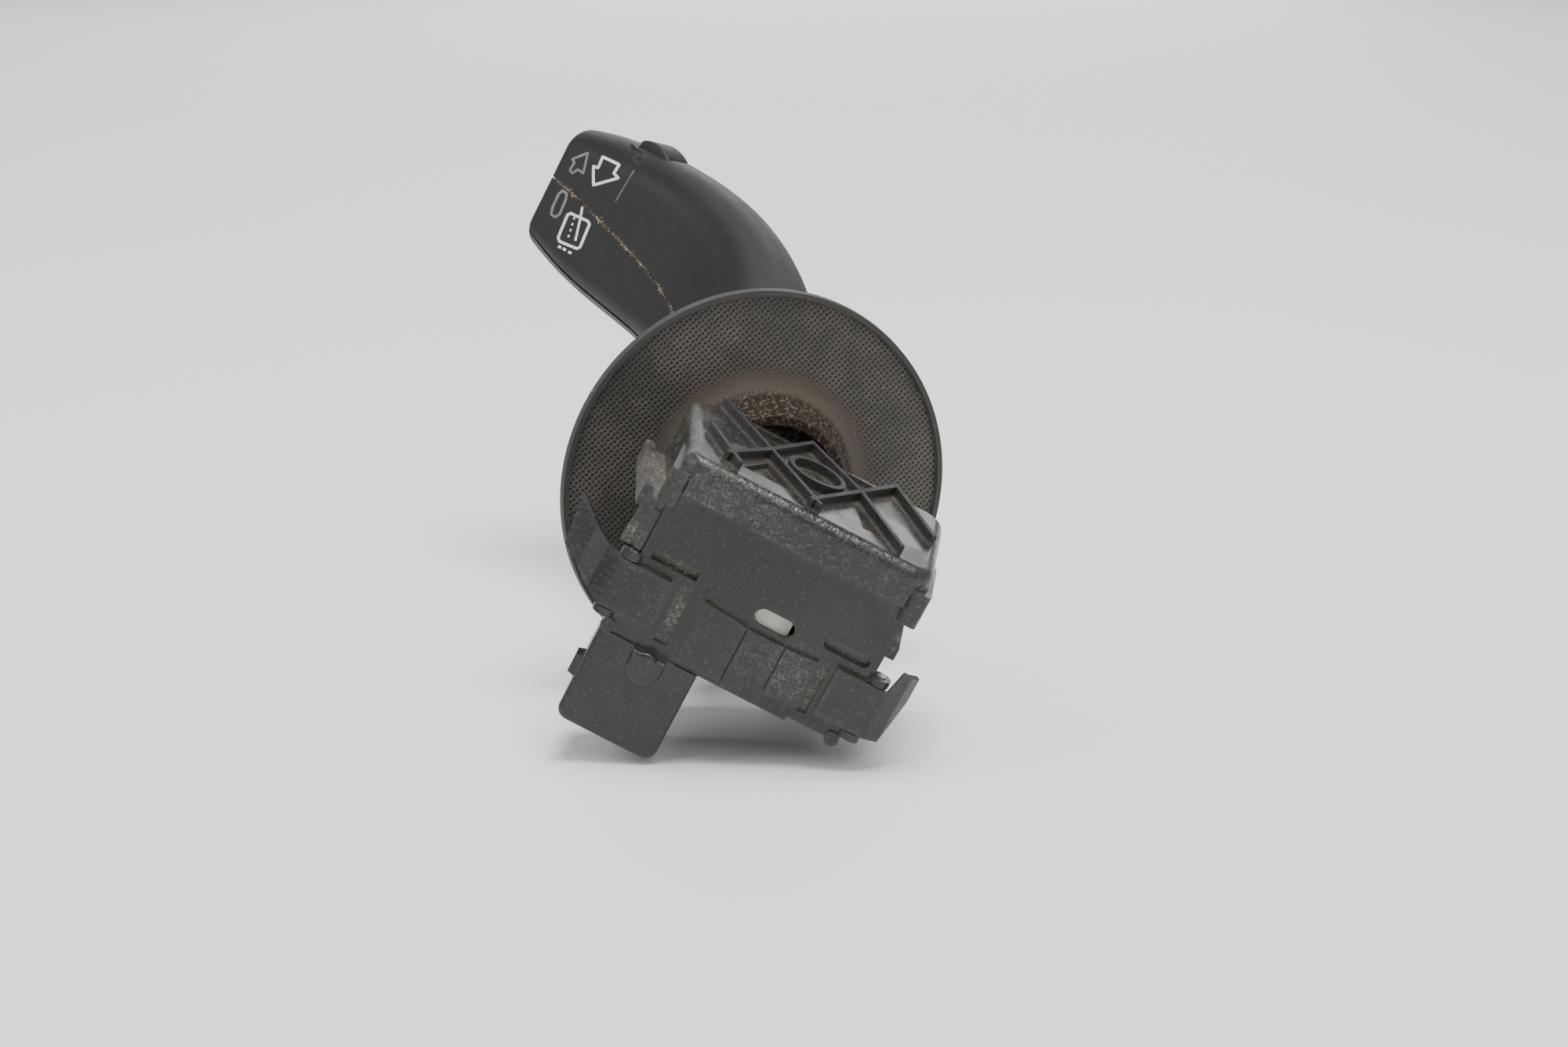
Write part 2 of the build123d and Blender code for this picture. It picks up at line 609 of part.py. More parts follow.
with BuildPart() as core:
    loft(sections=core_sections)
    with BuildSketch(Plane.XY.offset(PZ - CORE_HALF_Z)):
        with Locations(((CORE_TAIL + CORE_BACK) / 2 + 0.6, PY)):
            RectangleRounded(CORE_BACK - CORE_TAIL + 1.2, 2 * CORE_HALF_Y, 1.2)
        with Locations((PX, PY)):
            Circle(CORE_HALF_Y + 0.8)
        with BuildLine():
            Polyline((26.0, PY - CORE_HALF_Y), (CORE_BACK + 3.0, PY - 2.0), (CORE_BACK + 3.0, PY + 7.4),
                     (26.0, PY + CORE_HALF_Y), close=True)
        make_face()
    extrude(amount=2 * CORE_HALF_Z)
    with BuildSketch(Plane.XY.offset(PZ - CORE_HALF_Z)):
        with Locations((PX, PY)):
            Circle(LEVER_PIN_R + RUNNING)
    extrude(amount=2 * CORE_HALF_Z, mode=Mode.SUBTRACT)
    # Blind bore of the lever plunger
    with BuildSketch(Plane.YZ.offset(CORE_TAIL - 1.0)):
        with Locations((PY, PZ)):
            Circle(PLUNGER_R + RUNNING)
    extrude(amount=5.6, mode=Mode.SUBTRACT)
    # Pilot holes of the shell screws
    for station in SCREW_STATIONS:
        with BuildSketch(screw_plane(station, 0)):
            with Locations((SCREW_RISE, 0)):
                Circle(SCREW_R + 0.05)
        extrude(amount=8, mode=Mode.SUBTRACT)
save(core.part, "lever_core")

# Lever plunger presses on the front wall of the carrier's window
LEVER_NOSE = WINDOW_FRONT + 0.5
LEVER_PLUNGER_LENGTH = 4.4
LEVER_SPRING_LENGTH = 1.3

with BuildPart() as lever_plunger:
    add(plunger(Plane(origin=(LEVER_NOSE + LEVER_PLUNGER_LENGTH, PY, PZ), z_dir=(-1, 0, 0)),
                LEVER_PLUNGER_LENGTH))
save(lever_plunger.part, "lever_plunger")

with BuildPart() as lever_spring:
    with Locations(Plane(origin=(LEVER_NOSE + LEVER_PLUNGER_LENGTH + 0.25, PY, PZ), z_dir=(1, 0, 0))):
        add(coil(LEVER_SPRING_LENGTH, 2, 1.3, 0.35))
save(lever_spring.part, "lever_spring")

# ---------------------------------------------------------------------------
# Shroud disc with its flared neck
# ---------------------------------------------------------------------------
with BuildPart() as disc:
    with BuildSketch(Plane(origin=DISC_CENTRE, x_dir=DISC_PLANE.x_dir, z_dir=-DISC_PLANE.y_dir)):
        with BuildLine():
            rim = Polyline((8.6, -DISC_T / 2 - 0.6), (8.6, DISC_T / 2), (DISC_R - 0.8, DISC_T / 2),
                           (DISC_R, 0.0), (DISC_R - 0.2, -1.5), (DISC_R - 1.1, -1.5),
                           (DISC_R - 1.5, -0.7), (NECK_R + 5.0, -0.7))
            flare = TangentArc(rim @ 1, (NECK_R - 0.6, -5.0), tangent=(-1, 0))
            Polyline(flare @ 1, (NECK_R - 2.0, -NECK_LENGTH), (NECK_R - 3.5, -NECK_LENGTH),
                     (NECK_R - 2.6, -4.0), (8.6, -DISC_T / 2 - 0.6))
        make_face()
    revolve(axis=Axis(DISC_CENTRE, DISC_AXIS))
save(disc.part, "shroud_disc")

# ---------------------------------------------------------------------------
# Lever shells: one hollow form cut along two seams
# ---------------------------------------------------------------------------

def lever_shell(low, high, gap_low, gap_high):
    """The strip of the hollow lever between two seams, with webs that grip the core."""
    with BuildPart() as shell:
        loft(sections=lever_sections(0, LEVER))
        tip = shell.faces().sort_by(Axis(LEVER[-2][:3], direction(LEVER[-1][3], 0)))[-1]
        fillet(tip.edges(), 2.4)
        loft(sections=lever_sections(SHELL_T, LEVER[:6]), mode=Mode.SUBTRACT)
        for station in SCREW_STATIONS:
            with BuildSketch(station_plane(station)):
                RectangleRounded(station[5] - 2.4, station[6] - 2.4, 0.4 * station[6])
                RectangleRounded(CORE_WIDTH + 0.6, CORE_THICK + 0.6, 1.5, mode=Mode.SUBTRACT)
            extrude(amount=1.2, both=True)
        loft(sections=seam_band(low, high, gap_low, gap_high), mode=Mode.INTERSECT)
    return shell.part


TOP_EDGE = [0.6] * len(LEVER)
BOTTOM_EDGE = [-0.6] * len(LEVER)

# Rocker key on the upper edge
KEY_HEADING = 49.0
KEY_LENGTH = 8.4
KEY_WIDTH = 6.4
KEY_DEPTH = 3.6
KEY_AXIS_DEPTH = 1.7
KEY_TRAVEL = 4.0
KEY_PLANE = Plane(origin=(125.9, 51.1, 26.7), x_dir=direction(KEY_HEADING, 0), z_dir=(0, 0, 1))
KEY_SIDE = Plane(origin=KEY_PLANE.origin, x_dir=KEY_PLANE.x_dir, z_dir=-KEY_PLANE.y_dir)

with BuildPart() as upper_shell:
    add(lever_shell(SEAM_UPPER, TOP_EDGE, SEAM_GAP, 0))
    # Well of the rocker key
    with BuildSketch(KEY_PLANE.offset(-KEY_DEPTH - 1.4)):
        RectangleRounded(KEY_LENGTH + 3.4, KEY_WIDTH + 3.0, 1.5)
    extrude(amount=KEY_DEPTH + 1.0)
    with BuildSketch(KEY_PLANE.offset(-KEY_DEPTH)):
        RectangleRounded(KEY_LENGTH + 0.7, KEY_WIDTH + 0.7, 0.8)
    extrude(amount=12, mode=Mode.SUBTRACT)
    with BuildSketch(KEY_SIDE.offset(-KEY_WIDTH)):
        with Locations((0, -KEY_AXIS_DEPTH)):
            Circle(0.8)
    extrude(amount=2 * KEY_WIDTH, mode=Mode.SUBTRACT)
    # Screw pillars on the hidden face
    for station in SCREW_STATIONS:
        with BuildSketch(screw_plane(station, CORE_THICK / 2 + 0.1)):
            with Locations((SCREW_RISE, 0)):
                Circle(3.4)
        extrude(amount=station[6] / 2 - CORE_THICK / 2 - 0.9)
        with BuildSketch(screw_plane(station, 0)):
            with Locations((SCREW_RISE, 0)):
                Circle(SCREW_HOLE_R)
        extrude(amount=20, mode=Mode.SUBTRACT)
        with BuildSketch(screw_plane(station, station[6] / 2 - HEAD_DEPTH)):
            with Locations((SCREW_RISE, 0)):
                Circle(HEAD_R)
        extrude(amount=20, mode=Mode.SUBTRACT)
save(upper_shell.part, "upper_shell")

with BuildPart() as middle_trim:
    add(lever_shell(SEAM_LOWER, SEAM_UPPER, SEAM_GAP, SEAM_GAP))
save(middle_trim.part, "middle_trim")

with BuildPart() as lower_shell:
    add(lever_shell(BOTTOM_EDGE, SEAM_LOWER, 0, SEAM_GAP))
save(lower_shell.part, "lower_shell")

with BuildPart() as rocker_key:
    with BuildSketch(KEY_SIDE):
        with BuildLine():
            ends = Polyline((-KEY_LENGTH / 2, 1.2), (-KEY_LENGTH / 2, -1.4), (0, -KEY_DEPTH + 0.5),
                            (KEY_LENGTH / 2, -1.4), (KEY_LENGTH / 2, 1.2))
            ThreePointArc(ends @ 0, (0, 2.2), ends @ 1)
        make_face()
        with Locations((0, -KEY_AXIS_DEPTH)):
            Circle(0.85, mode=Mode.SUBTRACT)
    extrude(amount=KEY_WIDTH / 2, both=True)
    fillet(rocker_key.faces().sort_by(Axis.Z)[-1].edges(), 0.8)
save(rocker_key.part, "rocker_key")

with BuildPart() as rocker_pin:
    with BuildSketch(KEY_SIDE):
        with Locations((0, -KEY_AXIS_DEPTH)):
            Circle(0.79)
    extrude(amount=KEY_WIDTH / 2 + 1.4, both=True)
save(rocker_pin.part, "rocker_pin")

# ---------------------------------------------------------------------------
# Release clips: bent strips that rock on pins at the ends of the box
# ---------------------------------------------------------------------------
CLIP_FACE = -0.75


def clip_form(folds, outline):
    """A bent strip with an eye: folds is its path from above, outline its shape from the front."""
    side = 1 if folds[0][1] > 0 else -1
    with BuildPart() as clip:
        with BuildSketch(Plane.XY.offset(CLIP_LOW - 2)):
            with BuildLine() as path:
                Polyline(*folds)
                fillet(path.vertices().sort_by(Axis.Y)[1:-1], 0.7)
            trace(line_width=CLIP_T)
        extrude(amount=CLIP_HIGH - CLIP_LOW + 12)
        with BuildSketch(Plane.YZ.offset(-8)):
            with BuildLine():
                Polyline(*outline, close=True)
            make_face()
        extrude(amount=16, mode=Mode.INTERSECT)
        with BuildSketch(Plane.XY.offset(CLIP_LOW)):
            with Locations((CLIP_PIN_X, side * CLIP_PIN_Y)):
                Circle(CLIP_EYE_R)
        extrude(amount=CLIP_HIGH - CLIP_LOW)
        with BuildSketch(Plane.XY.offset(CLIP_LOW)):
            with Locations((CLIP_PIN_X, side * CLIP_PIN_Y)):
                Circle(CLIP_PIN_R + RUNNING)
        extrude(amount=CLIP_HIGH - CLIP_LOW, mode=Mode.SUBTRACT)
    return clip.part


with BuildPart() as driver_clip:
    add(clip_form([(CLIP_FACE, 15.0), (CLIP_FACE, 24.0), (0.6, 26.8), (-0.4, 29.6), (1.6, 34.4)],
                  [(15.0, CLIP_HIGH), (24.6, CLIP_HIGH), (27.0, -4.4), (30.5, -1.6), (34.4, 1.4),
                   (33.3, -8.0), (29.8, -10.0), (27.6, -12.4), (24.6, CLIP_LOW), (15.0, CLIP_LOW)]))
save(driver_clip.part, "driver_side_clip")

with BuildPart() as far_clip:
    add(clip_form([(CLIP_FACE, -15.6), (CLIP_FACE, -24.6), (0.8, -26.8), (3.4, -28.6)],
                  [(-15.6, CLIP_HIGH), (-24.6, CLIP_HIGH), (-25.6, -1.2), (-28.6, -2.0),
                   (-28.6, -6.5), (-27.2, CLIP_LOW), (-15.6, CLIP_LOW)]))
save(far_clip.part, "far_side_clip")

with BuildPart() as clip_pins:
    for side in (-1, 1):
        with BuildSketch(Plane.XY.offset(CLIP_LOW - 1.7)):
            with Locations((CLIP_PIN_X, side * CLIP_PIN_Y)):
                Circle(CLIP_PIN_R)
        extrude(amount=CLIP_HIGH - CLIP_LOW + 3.4)
save(clip_pins.part, "clip_pins")

# ---------------------------------------------------------------------------
# Screws that hold the upper shell to the core
# ---------------------------------------------------------------------------
with BuildPart() as shell_screws:
    for station in SCREW_STATIONS:
        seat = station[6] / 2 - HEAD_DEPTH + 0.05
        with BuildSketch(screw_plane(station, seat)):
            with Locations((SCREW_RISE, 0)):
                Circle(HEAD_R - 0.2)
        extrude(amount=1.6)
        with BuildSketch(screw_plane(station, 0.5)):
            with Locations((SCREW_RISE, 0)):
                Circle(SCREW_R)
        extrude(amount=seat)
        with BuildSketch(screw_plane(station, seat + 0.8)):
            with Locations((SCREW_RISE, 0)):
                Rectangle(2.4, 0.6)
                Rectangle(0.6, 2.4)
        extrude(amount=2, mode=Mode.SUBTRACT)
save(shell_screws.part, "shell_screws")
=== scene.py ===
import math
import random
from collections import namedtuple

import bmesh
import bpy
from mathutils import Matrix, Vector
from mathutils.bvhtree import BVHTree


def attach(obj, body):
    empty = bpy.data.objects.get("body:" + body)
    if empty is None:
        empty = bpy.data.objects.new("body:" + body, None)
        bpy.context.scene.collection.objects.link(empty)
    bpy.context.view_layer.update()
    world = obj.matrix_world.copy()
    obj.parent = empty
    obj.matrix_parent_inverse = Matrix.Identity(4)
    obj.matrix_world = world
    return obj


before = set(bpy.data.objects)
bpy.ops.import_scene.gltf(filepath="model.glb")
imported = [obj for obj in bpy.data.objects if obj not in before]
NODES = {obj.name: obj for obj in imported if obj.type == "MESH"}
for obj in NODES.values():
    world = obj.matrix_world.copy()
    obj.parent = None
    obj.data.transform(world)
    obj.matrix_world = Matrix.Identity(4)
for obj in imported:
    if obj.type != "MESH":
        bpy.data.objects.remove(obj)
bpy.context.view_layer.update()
MM = 0.001

# ---------------------------------------------------------------------------
# Camera, as fitted to the photo: 2000 x 1335 pixels
# ---------------------------------------------------------------------------
IMAGE_WIDTH = 2000
PRINCIPAL = Vector((1000.0, 667.5))
SENSOR_MM = 36.0
FOCAL_PX = 4200.0
EYE = Vector((-504.6, 30.2, 177.0)) * MM
LOOK = Vector((0.9494, -0.0507, -0.3100)).normalized()
# Where the row's -Z runs in the picture: its shares to the right, down and away from the camera
FALL_IN_VIEW = Vector((-0.4494, 0.8378, 0.3100))
# The photo's own vertical in the row frame: the object lies on its connector and disc
PHOTO_UP = Vector((0.055, 0.457, 0.888)).normalized()


def view_axes():
    """The camera's right, up and back as row vectors."""
    fall = (Vector((0, 0, -1)) + LOOK * LOOK.z).normalized()
    other = LOOK.cross(fall)
    rightward, upward = Vector((FALL_IN_VIEW.x, -FALL_IN_VIEW.y)).normalized()
    right = fall * rightward + other * upward
    up = fall * upward - other * rightward
    return right.normalized(), up.normalized(), -LOOK


RIGHT, UP, BACK = view_axes()
camera_data = bpy.data.cameras.new("photo_camera")
camera_data.sensor_width = SENSOR_MM
camera_data.lens = SENSOR_MM * FOCAL_PX / IMAGE_WIDTH
camera_data.clip_start = 0.01
camera_data.clip_end = 50
camera = bpy.data.objects.new("photo_camera", camera_data)
bpy.context.collection.objects.link(camera)
camera.matrix_world = Matrix.Translation(EYE) @ Matrix((RIGHT, UP, BACK)).transposed().to_4x4()
bpy.context.scene.camera = camera


# ---------------------------------------------------------------------------
# Node helpers
# ---------------------------------------------------------------------------
LEVEL_INPUTS = {"specular": "Specular IOR Level", "metallic": "Metallic", "subsurface": "Subsurface Weight"}
# Share of a place's radius, round its middle, over which near() is full
NEAR_CORE = 0.45


class Nodes:
    """Short calls for building one material's node tree in row coordinates."""

    def __init__(self, name):
        self.material = bpy.data.materials.new(name)
        self.material.use_nodes = True
        self.tree = self.material.node_tree
        self.shader = self.tree.nodes["Principled BSDF"]
        self.place = self.tree.nodes.new("ShaderNodeTexCoord").outputs["Object"]

    def add(self, kind, **inputs):
        node = self.tree.nodes.new(kind)
        for key, value in inputs.items():
            self.put(node.inputs[key.replace("_", " ")], value)
        return node

    def put(self, socket, value):
        if isinstance(value, bpy.types.NodeSocket):
            self.tree.links.new(value, socket)
        else:
            socket.default_value = value

    def noise(self, scale, detail=4.0, rough=0.55):
        """Noise with about scale features to the metre."""
        node = self.add("ShaderNodeTexNoise", Vector=self.place, Scale=scale, Detail=detail, Roughness=rough)
        return node.outputs["Fac"]

    def ramp(self, value, low, high, out_low=0.0, out_high=1.0):
        """Smooth step of the value from low to high."""
        node = self.add("ShaderNodeMapRange", Value=value, From_Min=low, From_Max=high,
                        To_Min=out_low, To_Max=out_high)
        node.interpolation_type = "SMOOTHSTEP"
        return node.outputs["Result"]

    def math(self, operation, a, b=0.0):
        node = self.tree.nodes.new("ShaderNodeMath")
        node.operation = operation
        self.put(node.inputs[0], a)
        self.put(node.inputs[1], b)
        return node.outputs[0]

    def times(self, a, b):
        return self.math("MULTIPLY", a, b)

    def plus(self, a, b):
        return self.math("ADD", a, b)

    def larger(self, a, b):
        return self.math("MAXIMUM", a, b)

    def vector(self, operation, a, b, output="Value"):
        node = self.tree.nodes.new("ShaderNodeVectorMath")
        node.operation = operation
        self.put(node.inputs[0], a)
        node.inputs[1].default_value = b
        return node.outputs[output]

    def mix(self, factor, a, b):
        node = self.tree.nodes.new("ShaderNodeMix")
        node.data_type = "RGBA"
        self.put(node.inputs["Factor"], factor)
        self.put(node.inputs["A"], a)
        self.put(node.inputs["B"], b)
        return node.outputs["Result"]

    def bump(self, height, strength, distance_mm, normal=None):
        node = self.add("ShaderNodeBump", Strength=strength, Distance=distance_mm * MM, Height=height)
        if normal is not None:
            self.put(node.inputs["Normal"], normal)
        return node.outputs["Normal"]

    def coordinate(self, axis):
        """The row coordinate on an axis: 0, 1 or 2."""
        return self.add("ShaderNodeSeparateXYZ", Vector=self.place).outputs[axis]

    def facing(self, direction):
        """How far the surface faces a row direction, from -1 to 1."""
        geometry = self.tree.nodes.new("ShaderNodeNewGeometry")
        return self.vector("DOT_PRODUCT", geometry.outputs["Normal"], direction)

    def near(self, point, radius):
        """1 round a row point, fading to 0 at the radius; both in mm."""
        gap = self.vector("DISTANCE", self.place, Vector(point) * MM)
        return self.ramp(gap, radius * NEAR_CORE * MM, radius * MM, 1.0, 0.0)

    def openness(self, reach_mm, inside=False):
        """Ambient occlusion: 0 deep in corners and 1 in the open; inside finds edges instead."""
        node = self.add("ShaderNodeAmbientOcclusion", Distance=reach_mm * MM)
        node.samples = 8
        node.inside = inside
        return node.outputs["AO"]

    def finish(self, colour, rough, normal, **levels):
        """Wire the shader, set its constant levels and hand back the material."""
        for key, value in (("Base Color", colour), ("Roughness", rough), ("Normal", normal)):
            self.put(self.shader.inputs[key], value)
        for key, value in levels.items():
            self.shader.inputs[LEVEL_INPUTS[key]].default_value = value
        return self.material


def grey(value, warm=0.0):
    return (value * (1 + warm), value, value * (1 - warm), 1.0)


DUST = (0.34, 0.30, 0.25, 1.0)
BROWN_DUST = (0.068, 0.054, 0.041, 1.0)
DARK_EARTH = (0.016, 0.012, 0.009, 1.0)
PALE_EARTH = (0.105, 0.078, 0.052, 1.0)
DRY_GRIT = (0.36, 0.33, 0.28, 1.0)


# ---------------------------------------------------------------------------
# Black plastic of the switch box
# ---------------------------------------------------------------------------
EDGE_REACH_MM = 1.2
CORNER_REACH_MM = 4.0
# Depth (mm) below the end plate's face over which a place counts as sunk
SUNK_FROM = 0.15
SUNK_TO = 0.6
# Heights (mm) over which the cover's ribs turn darker, as painted shade, and duller than its panels
RIB_DARK_FROM = 16.4
RIB_DARK_TO = 17.0
ROUGH_SPREAD = 0.11
DUST_ROUGHENS = 0.3


def dust_mask(m, broad, patch, dust, corner, speck, dirty):
    """Dust on what looks up, in corners and at dirty places, and the grit that it is made of."""
    lie = m.ramp(m.facing(PHOTO_UP), -0.1, 0.95, 0.12, 1.0)
    cloud = m.ramp(m.plus(m.times(patch, 0.6), m.times(broad, 0.4)), 0.42, 0.66)
    shelter = m.ramp(m.openness(CORNER_REACH_MM), 0.3, 0.9, 1.0, 0.0)
    powder = m.larger(m.times(m.times(lie, cloud), dust), m.times(shelter, corner))
    grit = m.noise(2100.0, 3.0, 0.6)
    ragged = m.times(m.ramp(m.noise(420.0, 4.0, 0.7), 0.36, 0.62), m.ramp(grit, 0.46, 0.58, 0.14, 1.0))
    sunk = m.ramp(m.coordinate(0), SUNK_FROM * MM, SUNK_TO * MM)
    for point, radius, amount, only_sunk in dirty:
        heap = m.times(m.near(point, radius), m.times(ragged, amount))
        powder = m.larger(powder, m.times(heap, sunk) if only_sunk else heap)
    specks = m.ramp(grit, 0.66, 0.76, 0.0, speck)
    return m.math("MINIMUM", m.plus(powder, specks), 1.0), grit


def black_plastic(name, tone, grain, depth, rough, dust, corner, speck, dirty=(), ribbed=False):
    """Moulded black plastic: fine grain (features to the metre, depth in mm) with painted glints, edges
    lightened as scuffs and painted highlight, and dust.
    """
    m = Nodes(name)
    fine = m.noise(grain, 3.0, 0.6)
    broad = m.noise(28.0, 5.0, 0.6)
    patch = m.noise(95.0, 6.0, 0.68)
    base = m.mix(m.ramp(broad, 0.3, 0.7), grey(tone * 0.6), grey(tone * 1.35, 0.012))
    # Painted glints: spots of the moulded grain are made lighter in colour, standing in for small lights of
    # the sheen
    base = m.mix(m.ramp(fine, 0.55, 0.68), base, grey(tone * 3.0))
    # Edges lighter in colour: scuffed wear, and painted edge highlight
    edge = m.ramp(m.openness(EDGE_REACH_MM, inside=True), 0.35, 0.85, 1.0, 0.0)
    base = m.mix(m.times(edge, m.ramp(patch, 0.35, 0.65, 0.1, 0.6)), base, grey(tone * 3.2, 0.03))
    powder, grit = dust_mask(m, broad, patch, dust, corner, speck, dirty)
    base = m.mix(powder, base, m.mix(grit, BROWN_DUST, DUST))
    shine = m.ramp(patch, 0.34, 0.66, rough - ROUGH_SPREAD, rough + ROUGH_SPREAD)
    shine = m.plus(shine, m.times(powder, DUST_ROUGHENS))
    relief = fine
    if ribbed:
        rib = m.ramp(m.coordinate(2), RIB_DARK_FROM * MM, RIB_DARK_TO * MM)
        # Painted shade: the rib tops are darkened in colour
        base = m.mix(m.times(rib, 0.75), base, grey(tone * 0.5))
        shine = m.plus(shine, m.times(rib, DUST_ROUGHENS))
        # The panels between the ribs are smooth
        relief = m.times(fine, m.ramp(m.facing((0, 0, 1)), 0.85, 0.98, 1.0, 0.1))
    normal = m.bump(relief, 0.7, depth)
    normal = m.bump(broad, 0.25, 0.15, normal)
    return m.finish(base, shine, m.bump(powder, 0.4, 0.06, normal), specular=0.45)


# ---------------------------------------------------------------------------
# Woven shroud disc, sizes in mm
# ---------------------------------------------------------------------------
DISC_CENTRE = Vector((52.0, 8.4, -1.0))
DISC_AXIS = Vector((0.9055, 0.3713, -0.2062))
# The weave is turned against the disc's own up and across by this share
WEAVE_TURN = Vector((0.90, 0.44))
WEAVE_PITCH = 1.5
WEAVE_ASPECT = 0.6
WEAVE_INNER = (18.5, 22.5)
WEAVE_OUTER = (34.0, 34.6)
NECK_EDGE = (16.8, 18.8)
RING_RISE = (16.5, 19.0)
RING_FALL = (20.0, 23.2)
RIM_EDGE = (34.3, 34.8)


def disc_axes(m):
    """Coordinates over the disc along its weave, and along its axis."""
    across = DISC_AXIS.cross(Vector((0, 0, 1))).normalized()
    upward = across.cross(DISC_AXIS).normalized()
    along_row = (across * WEAVE_TURN.x - upward * WEAVE_TURN.y).normalized()
    along_column = (upward * WEAVE_TURN.x + across * WEAVE_TURN.y).normalized()
    offset = m.vector("SUBTRACT", m.place, DISC_CENTRE * MM, "Vector")
    axes = (along_row, along_column, DISC_AXIS.normalized())
    return [m.vector("DOT_PRODUCT", offset, axis) for axis in axes]


def band(m, radius, edge, rising=True):
    """0 to 1 over a pair of radii in mm, or 1 to 0."""
    low, high = (0.0, 1.0) if rising else (1.0, 0.0)
    return m.ramp(radius, edge[0] * MM, edge[1] * MM, low, high)


def weave_pits(m, u, v):
    """Rows of small pits, each row shifted by half a step against the next."""
    pitch = WEAVE_PITCH * MM
    wobble = m.times(m.noise(420.0, 2.0), 0.9)
    row = m.math("SINE", m.plus(m.times(v, math.tau / pitch), wobble))
    shift = m.times(m.math("SIGN", row), 0.25 * pitch)
    column = m.math("SINE", m.times(m.plus(u, shift), math.tau / (pitch * WEAVE_ASPECT)))
    return m.times(m.math("ABSOLUTE", row), m.plus(m.times(column, 0.5), 0.5))


def disc_weave():
    """Shroud disc: a fine woven grain with painted shade in its pits and on its rim, brown dust round the
    neck and dusty patches.
    """
    m = Nodes("disc_weave")
    u, v, height = disc_axes(m)
    radius = m.math("SQRT", m.plus(m.math("POWER", u, 2.0), m.math("POWER", v, 2.0)))
    woven = m.times(band(m, radius, WEAVE_OUTER, False), band(m, radius, WEAVE_INNER))
    pit = m.times(weave_pits(m, u, v), woven)
    patch = m.noise(70.0, 6.0, 0.65)
    fine = m.noise(1500.0, 3.0, 0.6)
    cloth = m.mix(m.ramp(patch, 0.36, 0.7), (0.062, 0.056, 0.050, 1), (0.12, 0.106, 0.09, 1))
    # Painted shade: the weave's pits are darkened in colour
    base = m.mix(m.ramp(pit, 0.2, 0.6, 0.0, 0.85), cloth, (0.012, 0.011, 0.010, 1))
    # Dirt lies on the side of the box only
    box_side = m.ramp(height, 0.0, 0.5 * MM, 1.0, 0.0)
    ring = m.times(band(m, radius, RING_RISE), band(m, radius, RING_FALL, False))
    ring = m.times(ring, m.times(box_side, m.ramp(patch, 0.3, 0.6, 0.45, 1.0)))
    base = m.mix(m.times(ring, 0.9), base, BROWN_DUST)
    neck = m.times(box_side, band(m, radius, NECK_EDGE, False))
    base = m.mix(neck, base, m.mix(m.ramp(fine, 0.50, 0.66), DARK_EARTH, PALE_EARTH))
    # Painted shade: the rim is darkened in colour to hold down its bright reflection
    base = m.mix(band(m, radius, RIM_EDGE), base, grey(0.045, 0.04))
    base = m.mix(m.ramp(m.noise(1300.0, 2.0), 0.72, 0.78, 0.0, 0.5), base, DRY_GRIT)
    shine = m.plus(m.ramp(patch, 0.3, 0.7, 0.5, 0.72), m.times(m.larger(ring, neck), 0.28))
    normal = m.bump(m.math("SUBTRACT", 1.0, pit), 0.8, 0.12)
    return m.finish(base, shine, m.bump(fine, 0.3, 0.04, normal), specular=0.3)


# ---------------------------------------------------------------------------
# Other materials
# ---------------------------------------------------------------------------
def metal(name, colour, rough, scratch):
    """Bare metal with fine scratches and duller patches."""
    m = Nodes(name)
    streak = m.noise(scratch, 5.0, 0.7)
    dull = tuple(part * 0.62 for part in colour[:3]) + (1,)
    base = m.mix(m.ramp(m.noise(120.0, 4.0), 0.35, 0.7), colour, dull)
    shine = m.ramp(streak, 0.3, 0.7, rough, rough + 0.2)
    return m.finish(base, shine, m.bump(streak, 0.3, 0.03), metallic=1.0)


def pale_plastic():
    """Natural white plastic of the inner parts, with traces of grease."""
    m = Nodes("inner_white")
    broad = m.noise(160.0, 5.0)
    grease = m.ramp(m.noise(60.0, 3.0), 0.5, 0.62)
    base = m.mix(grease, (0.82, 0.81, 0.77, 1), (0.60, 0.56, 0.47, 1))
    return m.finish(base, m.ramp(broad, 0.3, 0.7, 0.3, 0.5), m.bump(broad, 0.2, 0.05), subsurface=0.05)


def solder_mask():
    """Green lacquer over the board's glass weave."""
    m = Nodes("board_green")
    weave = m.noise(900.0, 2.0)
    base = m.mix(m.ramp(weave, 0.4, 0.6), (0.012, 0.10, 0.04, 1), (0.02, 0.15, 0.065, 1))
    return m.finish(base, 0.35, m.bump(weave, 0.3, 0.03))


def lever_plastic(name, tone):
    """Soft satin lever skin with a very fine spark grain, a painted edge highlight and faint wipe marks."""
    m = Nodes(name)
    fine = m.noise(2600.0, 2.0, 0.5)
    broad = m.noise(24.0, 4.0, 0.5)
    wipe = m.noise(130.0, 6.0, 0.75)
    base = m.mix(m.ramp(broad, 0.3, 0.7), grey(tone * 0.9), grey(tone * 1.12))
    # Painted edge highlight: the skin is lighter in colour along its edges
    edge = m.ramp(m.openness(0.8, inside=True), 0.4, 0.9, 0.6, 0.0)
    base = m.mix(edge, base, grey(tone * 2.4, 0.02))
    gap = m.ramp(m.openness(0.9), 0.25, 0.62, 1.0, 0.0)
    gap = m.times(gap, m.ramp(m.noise(700.0, 4.0), 0.35, 0.6))
    base = m.mix(m.times(gap, 0.75), base, (0.30, 0.24, 0.16, 1))
    base = m.mix(m.ramp(wipe, 0.55, 0.8, 0.0, 0.035), base, DUST)
    normal = m.bump(wipe, 0.1, 0.03, m.bump(fine, 0.35, 0.02))
    return m.finish(base, m.ramp(wipe, 0.3, 0.75, 0.47, 0.56), normal, specular=0.34)


